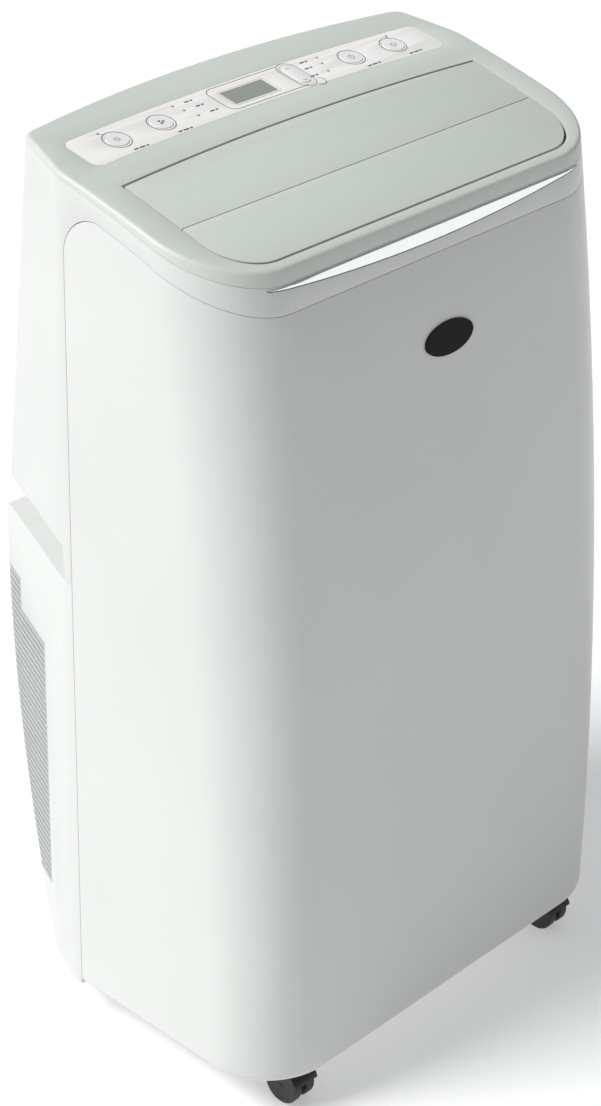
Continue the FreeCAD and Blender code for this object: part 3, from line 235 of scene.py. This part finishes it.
def metal(name, colour, rough, stretch=(1, 1, 40), drift=0.06):
    """Drawn or rolled metal with fine streaks along one direction."""
    n = Nodes(name)
    streak = n.noise(120.0, 4.0, stretch)
    tone = n.ramp(streak, [(0.3, shade(colour, 1 - drift)), (0.7, shade(colour, 1 + drift))])
    polish = n.spread(n.noise(35.0, 3.0), rough - 0.06, rough + 0.06)
    normal = n.bump(streak, 0.08, 0.00005)
    n.set(Metallic=1.0)
    return n.finish(tone, polish, normal)


def chrome(name, colour):
    n = Nodes(name)
    haze = n.noise(90.0, 3.0)
    tone = n.ramp(haze, [(0.3, shade(colour, 0.97)), (0.7, colour)])
    polish = n.spread(haze, 0.04, 0.1)
    n.set(Metallic=1.0)
    return n.finish(tone, polish, n.bump(n.noise(25.0, 1.0), 0.04, 0.0002))


def rubber(name, colour, rough=0.62):
    n = Nodes(name)
    dust = n.noise(70.0, 5.0)
    tone = n.ramp(dust, [(0.35, colour), (0.75, shade(tuple(c + 0.01 for c in colour), 1.5))])
    polish = n.spread(dust, rough - 0.08, rough + 0.1)
    return n.finish(tone, polish, n.bump(n.noise(600.0, 3.0), 0.2, 0.0001))


def woven(name, colour, pitch=0.0011):
    """Fine square mesh of the dust filter."""
    n = Nodes(name)
    waves = []
    for direction in ("X", "Z"):
        wave = n.add("ShaderNodeTexWave", bands_direction=direction)
        wave.inputs["Scale"].default_value = 0.314 / pitch
        n.link(n.place, wave.inputs["Vector"])
        waves.append(wave.outputs["Color"])
    both = n.multiply(*waves)
    tone = n.ramp(both, [(0.0, shade(colour, 1.3)), (0.8, shade(colour, 0.45))])
    polish = n.spread(n.noise(40.0), 0.6, 0.8)
    return n.finish(tone, polish, n.bump(both, 0.5, 0.0003))


def board(name, colour):
    """Circuit board: solder mask with darker tracks."""
    n = Nodes(name)
    cells = n.add("ShaderNodeTexVoronoi", distance="MANHATTAN")
    cells.inputs["Scale"].default_value = 160.0
    n.link(n.place, cells.inputs["Vector"])
    tracks = [(0.2, shade(colour, 1.5)), (0.3, colour), (0.8, shade(colour, 0.7))]
    tone = n.ramp(cells.outputs["Distance"], tracks)
    polish = n.spread(n.noise(50.0), 0.3, 0.45)
    return n.finish(tone, polish)


def fins(name, colour, pitch=0.0016):
    """Stacked fin stock seen edge on, with painted shade as dark bands in the gaps between the fins."""
    n = Nodes(name)
    wave = n.add("ShaderNodeTexWave", bands_direction="X")
    wave.inputs["Scale"].default_value = 0.314 / pitch
    n.link(n.place, wave.inputs["Vector"])
    # The dark stop of this ramp is painted shade in the gaps between the fins.
    tone = n.ramp(wave.outputs["Color"], [(0.25, shade(colour, 0.25)), (0.55, colour)])
    polish = n.spread(n.noise(30.0), 0.3, 0.5)
    n.set(Metallic=0.85)
    return n.finish(tone, polish, n.bump(wave.outputs["Color"], 0.4, 0.0004))


def window(name, colour):
    """Switched-off liquid crystal window: a faint fine grid under a glossy face."""
    n = Nodes(name)
    waves = []
    for direction in ("X", "Y"):
        wave = n.add("ShaderNodeTexWave", bands_direction=direction)
        wave.inputs["Scale"].default_value = 420.0
        n.link(n.place, wave.inputs["Vector"])
        waves.append(wave.outputs["Color"])
    grid = n.ramp(n.multiply(*waves), [(0.0, shade(colour, 0.94)), (0.5, colour)])
    drift = n.ramp(n.noise(30.0, 1.0), [(0.3, (0.95,) * 3), (0.7, (1.0,) * 3)])
    n.set(Coat_Weight=0.5, Coat_Roughness=0.05)
    return n.finish(n.multiply(grid, drift), n.spread(n.noise(40.0), 0.12, 0.2))


BUILDERS = {
    "white_shell": lambda m: moulded(m, (0.68, 0.69, 0.67), 0.36, coat=0.12),
    "grey_cover": lambda m: moulded(m, (0.62, 0.655, 0.61), 0.46, grain=1000.0, grain_depth=0.2),
    "grille_grey": lambda m: moulded(m, (0.46, 0.475, 0.47), 0.5),
    "panel_white": lambda m: moulded(m, (0.90, 0.88, 0.86), 0.42, grain=1800.0),
    "lens": lambda m: window(m, (0.33, 0.355, 0.33)),
    "led": lambda m: moulded(m, (0.27, 0.28, 0.26), 0.3),
    "circuit_board": lambda m: board(m, (0.02, 0.14, 0.05)),
    "silicone": lambda m: rubber(m, (0.55, 0.56, 0.55), 0.5),
    "key_white": lambda m: moulded(m, (0.85, 0.85, 0.83), 0.42, grain=1800.0),
    "motor_steel": lambda m: metal(m, (0.55, 0.55, 0.57), 0.4),
    "duct_white": lambda m: moulded(m, (0.70, 0.71, 0.70), 0.5),
    "chrome": lambda m: chrome(m, (0.90, 0.91, 0.92)),
    "badge_black": lambda m: moulded(m, (0.006, 0.006, 0.007), 0.5, gloss=0.12),
    "filter_grey": lambda m: woven(m, (0.12, 0.125, 0.13)),
    "black_rubber": lambda m: rubber(m, (0.02, 0.02, 0.02)),
    "base_grey": lambda m: moulded(m, (0.62, 0.63, 0.62), 0.5),
    "compressor_black": lambda m: moulded(m, (0.012, 0.012, 0.013), 0.3, grain=300.0, grain_depth=0.3),
    "black_plastic": lambda m: moulded(m, (0.014, 0.014, 0.015), 0.42),
    "fin_aluminium": lambda m: fins(m, (0.62, 0.63, 0.65)),
    "copper": lambda m: metal(m, (0.72, 0.36, 0.22), 0.3),
    "fan_black": lambda m: moulded(m, (0.018, 0.018, 0.02), 0.48),
    "galvanised": lambda m: metal(m, (0.58, 0.60, 0.62), 0.42, (1, 1, 1)),
    "screw_zinc": lambda m: metal(m, (0.62, 0.62, 0.60), 0.35, (1, 1, 1)),
    "caster_black": lambda m: rubber(m, (0.016, 0.016, 0.017), 0.5),
}
MATERIALS = {name: build(name) for name, build in BUILDERS.items()}
INK = moulded("printed_ink", (0.24, 0.25, 0.235), 0.5, drift=0.06)
INK_DARK = moulded("printed_ink_dark", (0.10, 0.105, 0.10), 0.5, drift=0.06)


# ---- piece helpers ----
def place_piece(name, mesh, body, material):
    piece = bpy.data.objects.new(name, mesh)
    bpy.context.scene.collection.objects.link(piece)
    piece.data.materials.clear()
    piece.data.materials.append(material)
    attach(piece, body)
    return piece


def smooth(mesh, angle):
    """Smooth shading with creases where faces meet at more than the angle."""
    mesh.normals_split_custom_set([(0, 0, 0)] * len(mesh.loops))
    for polygon in mesh.polygons:
        polygon.use_smooth = True
    mesh.set_sharp_from_angle(angle=angle)


def refined(node, width, segments=3, angle=28.0):
    """A copy of a CAD node with welded faces and softly rounded edges, which stands for it."""
    source = frame["nodes"][node].data
    mesh = bpy.data.meshes.new(node + "_finished")
    bm = bmesh.new()
    bm.from_mesh(source)
    bmesh.ops.remove_doubles(bm, verts=bm.verts, dist=0.01 * MM)
    bmesh.ops.dissolve_limit(bm, angle_limit=math.radians(0.2), verts=bm.verts, edges=bm.edges)
    bm.to_mesh(mesh)
    bm.free()
    slot_name = SLOT_OF[node]
    piece = place_piece(node + "_finished", mesh, BODY_OF[node], MATERIALS[slot_name])
    bevel = piece.modifiers.new("edges", "BEVEL")
    bevel.width = width
    bevel.segments = segments
    bevel.limit_method = "ANGLE"
    bevel.angle_limit = math.radians(angle)
    bevel.use_clamp_overlap = True
    bevel.harden_normals = False
    depsgraph = bpy.context.evaluated_depsgraph_get()
    bevelled = bpy.data.meshes.new_from_object(piece.evaluated_get(depsgraph))
    piece.modifiers.clear()
    piece.data = bevelled
    smooth(bevelled, math.radians(35.0))
    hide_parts(node)
    return piece


# ---- every CAD node gets its finish ----
for node, obj in frame["nodes"].items():
    obj.data.materials.clear()
    obj.data.materials.append(MATERIALS[SLOT_OF[node]])


# ---- the shells and other large pieces, with rounded edges ----
SHELLS = {node: refined(node, width * MM) for node, width in EDGE_WIDTHS.items()}
for node in frame["nodes"]:
    if node.startswith("caster_fork"):
        SHELLS[node] = refined(node, FORK_EDGE)


# ---- printed graphics: thin raised ink that follows the surface ----
def circle(cx, cy, radius, count=56):
    for i in range(count):
        a = 2 * math.pi * i / count
        yield cx + radius * math.cos(a), cy + radius * math.sin(a)


def slot_path(cx, cy, width, length, count=14):
    """Upright capsule outline."""
    r = width / 2
    reach = length / 2 - r
    for i in range(count + 1):
        a = math.pi * i / count
        yield cx + r * math.cos(a), cy + reach + r * math.sin(a)
    for i in range(count + 1):
        a = math.pi + math.pi * i / count
        yield cx + r * math.cos(a), cy - reach + r * math.sin(a)


def arc(cx, cy, radius, start, end, count=10):
    """Points of an arc between two angles in degrees."""
    for i in range(count + 1):
        a = math.radians(start + (end - start) * i / count)
        yield cx + radius * math.cos(a), cy + radius * math.sin(a)


def divided(points, step=0.004):
    """The same open path with long runs cut up, so that it can follow a curved surface."""
    result = [points[0]]
    for (ax, ay), (bx, by) in zip(points, points[1:]):
        count = max(1, round(math.hypot(bx - ax, by - ay) / step))
        result += [(ax + (bx - ax) * i / count, ay + (by - ay) * i / count) for i in range(1, count + 1)]
    return result


class Print:
    """Collects thin closed ribbons and dots on one surface into one mesh."""

    def __init__(self, surface=on_top):
        self.bm = bmesh.new()
        self.surface = surface

    def line(self, points, width, closed=False):
        points = list(points)
        if not closed:
            points = divided(points)
        rings = []
        count = len(points)
        for i, (x, y) in enumerate(points):
            a = points[(i - 1) % count] if closed else points[max(0, i - 1)]
            b = points[(i + 1) % count] if closed else points[min(count - 1, i + 1)]
            way = Vector((b[0] - a[0], b[1] - a[1])).normalized()
            side = Vector((-way.y, way.x)) * width / 2
            corners = [(side, -INK_RISE), (-side, -INK_RISE), (-side, INK_RISE), (side, INK_RISE)]
            rings.append([self.bm.verts.new(self.surface(x + s.x, y + s.y, up)) for s, up in corners])
        for a, b in zip(rings, rings[1:] + (rings[:1] if closed else [])):
            for k in range(4):
                self.bm.faces.new((a[k], b[k], b[(k + 1) % 4], a[(k + 1) % 4]))
        if not closed:
            self.bm.faces.new(rings[0][::-1])
            self.bm.faces.new(rings[-1])

    def dot(self, x, y, radius, count=20):
        low = [self.bm.verts.new(self.surface(px, py, -INK_RISE)) for px, py in circle(x, y, radius, count)]
        high = [self.bm.verts.new(self.surface(px, py, INK_RISE)) for px, py in circle(x, y, radius, count)]
        self.bm.faces.new(low[::-1])
        self.bm.faces.new(high)
        for i in range(count):
            j = (i + 1) % count
            self.bm.faces.new((low[i], low[j], high[j], high[i]))

    def done(self, name, body, material):
        mesh = bpy.data.meshes.new(name)
        bmesh.ops.recalc_face_normals(self.bm, faces=self.bm.faces)
        self.bm.to_mesh(mesh)
        self.bm.free()
        return place_piece(name, mesh, body, material)


def key_face(x0, height):
    """The flat top of a key as a surface to print on."""
    y0 = key_y(x0)
    origin = on_top(x0, y0, height)
    normal = (on_top(x0, y0, 1.0) - on_top(x0, y0)).normalized()
    along = Vector((1, 0, 0))
    across = normal.cross(along)

    def surface(x, y, up):
        return origin + along * (x - x0) + across * (y - y0) + normal * up
    return surface


def strip_graphics():
    """Rings round the keys, label bars and the indicator lights' labels, printed on the control strip."""
    light = Print()
    dark = Print()

    def label(x, y, words):
        """A plain stand-in for small lettering: one short bar per word."""
        for word in words:
            dark.line([(x, y), (x + word, y)], LABEL_LINE)
            x += word + WORD_GAP
    for x in KEYS.values():
        y = key_y(x)
        light.line(circle(x, y, RING_R), RING_LINE, closed=True)
        label(x + KEY_LABEL[0], y + KEY_LABEL[1], KEY_WORDS)
    for side in (-1, 1):
        for x, y in INDICATORS:
            label(side * (x - LIGHT_LABEL) - LIGHT_LABEL_HALF, y, LIGHT_WORDS)
    for side in (-1, 1):
        x = KEYS["power"]
        y = key_y(x)
        light.line([(side * (x + dx), y + dy) for dx, dy in POWER_MARK], RING_LINE)
    light.done("strip_rings", ROOT, INK)
    dark.done("strip_bars", ROOT, INK_DARK)


def display_graphics():
    """Outline round the display window that runs into the loop round the rocker."""
    outline = Print()
    left, right, low, high, r = -0.043, 0.034, 0.033, 0.0665, 0.008
    rocker_y = key_y(ROCKER_X)
    path = [(right + 0.003, high)]
    path += list(arc(left + r, high - r, r, 90, 180))
    path += list(arc(left + r, low + r, r, 180, 270))
    path += [(right + 0.006, low)]
    outline.line(path, OUTLINE)
    outline.line(slot_path(ROCKER_X, rocker_y, 0.0185, 0.0375), OUTLINE, closed=True)
    outline.line(slot_path(ROCKER_X, rocker_y, 0.0150, 0.0325), 0.45 * MM, closed=True)
    outline.line(arc(ROCKER_X + 0.0095, rocker_y - 0.0165, 0.0052, -150, 70), OUTLINE)
    outline.done("display_outline", ROOT, INK)
    window_edge = Print()
    x0, x1, y0, y1, r = -0.0345, 0.0145, 0.0375, 0.0595, 0.0015
    corners = list(arc(x1 - r, y1 - r, r, 0, 90, 4)) + list(arc(x0 + r, y1 - r, r, 90, 180, 4))
    corners += list(arc(x0 + r, y0 + r, r, 180, 270, 4)) + list(arc(x1 - r, y0 + r, r, 270, 360, 4))
    window_edge.line(divided(corners + corners[:1])[:-1], 0.3 * MM, closed=True)
    window_edge.done("display_rim", ROOT, INK)


def key_graphics():
    """A small plain sign on every key."""
    for name, x in KEYS.items():
        y = key_y(x)
        sign = Print(key_face(x, KEY_TOP))
        if name == "power":
            sign.line(arc(x, y, 2.4 * MM, 130, 410, 20), SIGN_BOLD)
            sign.line([(x, y + 0.8 * MM), (x, y + 3.2 * MM)], SIGN_BOLD)
        elif name == "timer":
            sign.line(circle(x, y, 2.6 * MM, 28), SIGN_LINE, closed=True)
            sign.line([(x, y + 1.6 * MM), (x, y), (x + 1.3 * MM, y)], SIGN_LINE)
        elif name == "fan":
            for k in range(3):
                a = 2 * math.pi * k / 3
                sign.dot(x + 1.9 * MM * math.cos(a), y + 1.9 * MM * math.sin(a), 1.2 * MM, 14)
        else:
            sign.line(circle(x, y, 1.6 * MM, 24), SIGN_LINE, closed=True)
            for k in range(8):
                a = 2 * math.pi * k / 8
                c, s = math.cos(a), math.sin(a)
                ends = [(x + r * MM * c, y + r * MM * s) for r in (2.4, 3.3)]
                sign.line(ends, 0.4 * MM)
        sign.done("sign_" + name, "button_" + name, INK_DARK)
    y = key_y(ROCKER_X)
    sign = Print(key_face(ROCKER_X, ROCKER_TOP))
    for way in (-1, 1):
        tip = y + way * 11.2 * MM
        base = y + way * 9.2 * MM
        sign.line([(ROCKER_X - 1.6 * MM, base), (ROCKER_X, tip), (ROCKER_X + 1.6 * MM, base)], SIGN_BOLD)
    sign.done("sign_rocker", "rocker_key", INK_DARK)


def trim_painted_shadow():
    """Painted shadow: a thin strip of black rubber under the chrome crescent, where the trim's lower edge
    casts shade, laid on the shell by casting onto it.
    """
    shell = BVHTree.FromObject(SHELLS["upper_housing"], bpy.context.evaluated_depsgraph_get())
    low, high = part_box("chrome_trim")
    half = high.x - 1.0 * MM
    drop = high.z - low.z
    radius = (half ** 2 + drop ** 2) / (2 * drop)
    rise = 0.45 * MM

    def surface(x, z, up):
        hit, normal, _, _ = shell.ray_cast(Vector((x, -0.4, z)), Vector((0, 1, 0)))
        return hit + normal * (rise + up * 3)
    # This dark ribbon is painted shadow along the lower edge of the chrome trim, not a real part.
    painted_shadow_line = Print(surface)
    count = 90
    points = []
    for i in range(count + 1):
        x = half * (2 * i / count - 1)
        points.append((x, low.z - 0.5 * MM + radius - math.sqrt(radius ** 2 - x ** 2)))
    painted_shadow_line.line(points, 0.9 * MM)
    painted_shadow_line.done("trim_painted_shadow", ROOT, MATERIALS["black_rubber"])


strip_graphics()
display_graphics()
key_graphics()
# Painted shadow strip under the chrome trim.
trim_painted_shadow()


# ---- light, floor, camera ----
def studio():
    scene = bpy.context.scene
    scene.view_settings.view_transform = "Standard"
    world = bpy.data.worlds.new("studio")
    scene.world = world
    world.use_nodes = True
    tree = world.node_tree
    fill = tree.nodes["Background"]
    fill.inputs["Color"].default_value = FILL_COLOUR
    fill.inputs["Strength"].default_value = FILL_STRENGTH
    seen = tree.nodes.new("ShaderNodeBackground")
    seen.inputs["Color"].default_value = WHITE
    rays = tree.nodes.new("ShaderNodeLightPath")
    mix = tree.nodes.new("ShaderNodeMixShader")
    tree.links.new(rays.outputs["Is Camera Ray"], mix.inputs[0])
    tree.links.new(fill.outputs[0], mix.inputs[1])
    tree.links.new(seen.outputs[0], mix.inputs[2])
    tree.links.new(mix.outputs[0], tree.nodes["World Output"].inputs["Surface"])

    key = bpy.data.lights.new("key", "SUN")
    key.energy = KEY_ENERGY
    key.angle = KEY_ANGLE
    key_object = bpy.data.objects.new("key", key)
    scene.collection.objects.link(key_object)
    key_object.rotation_euler = KEY_FROM.to_track_quat("Z", "Y").to_euler()

    mesh = bpy.data.meshes.new("floor")
    corners = [(x * FLOOR_HALF, y * FLOOR_HALF, 0) for x, y in ((-1, -1), (1, -1), (1, 1), (-1, 1))]
    mesh.from_pydata(corners, [], [(0, 1, 2, 3)])
    floor = bpy.data.objects.new("floor", mesh)
    scene.collection.objects.link(floor)
    n = Nodes("floor_paint")
    tone = n.ramp(n.noise(1.2, 2.0), [(0.3, (0.61, 0.61, 0.61)), (0.7, (0.63, 0.63, 0.63))])
    n.set(Emission_Color=WHITE, Emission_Strength=FLOOR_GLOW)
    floor.data.materials.append(n.finish(tone, n.spread(n.noise(4.0), 0.75, 0.85)))


def camera():
    data = bpy.data.cameras.new("camera")
    data.sensor_fit = "VERTICAL"
    data.sensor_height = CAMERA_SENSOR
    data.lens = CAMERA_LENS
    data.shift_x, data.shift_y = CAMERA_SHIFT
    data.clip_start = 0.05
    obj = bpy.data.objects.new("camera", data)
    turn = CAMERA_WAY.to_track_quat("Z", "Y").to_matrix().to_4x4()
    obj.matrix_world = (Matrix.Translation(CAMERA_TARGET + CAMERA_WAY * CAMERA_DISTANCE) @ turn
                        @ Matrix.Rotation(CAMERA_ROLL, 4, "Z"))
    bpy.context.scene.collection.objects.link(obj)
    bpy.context.scene.camera = obj


studio()
camera()
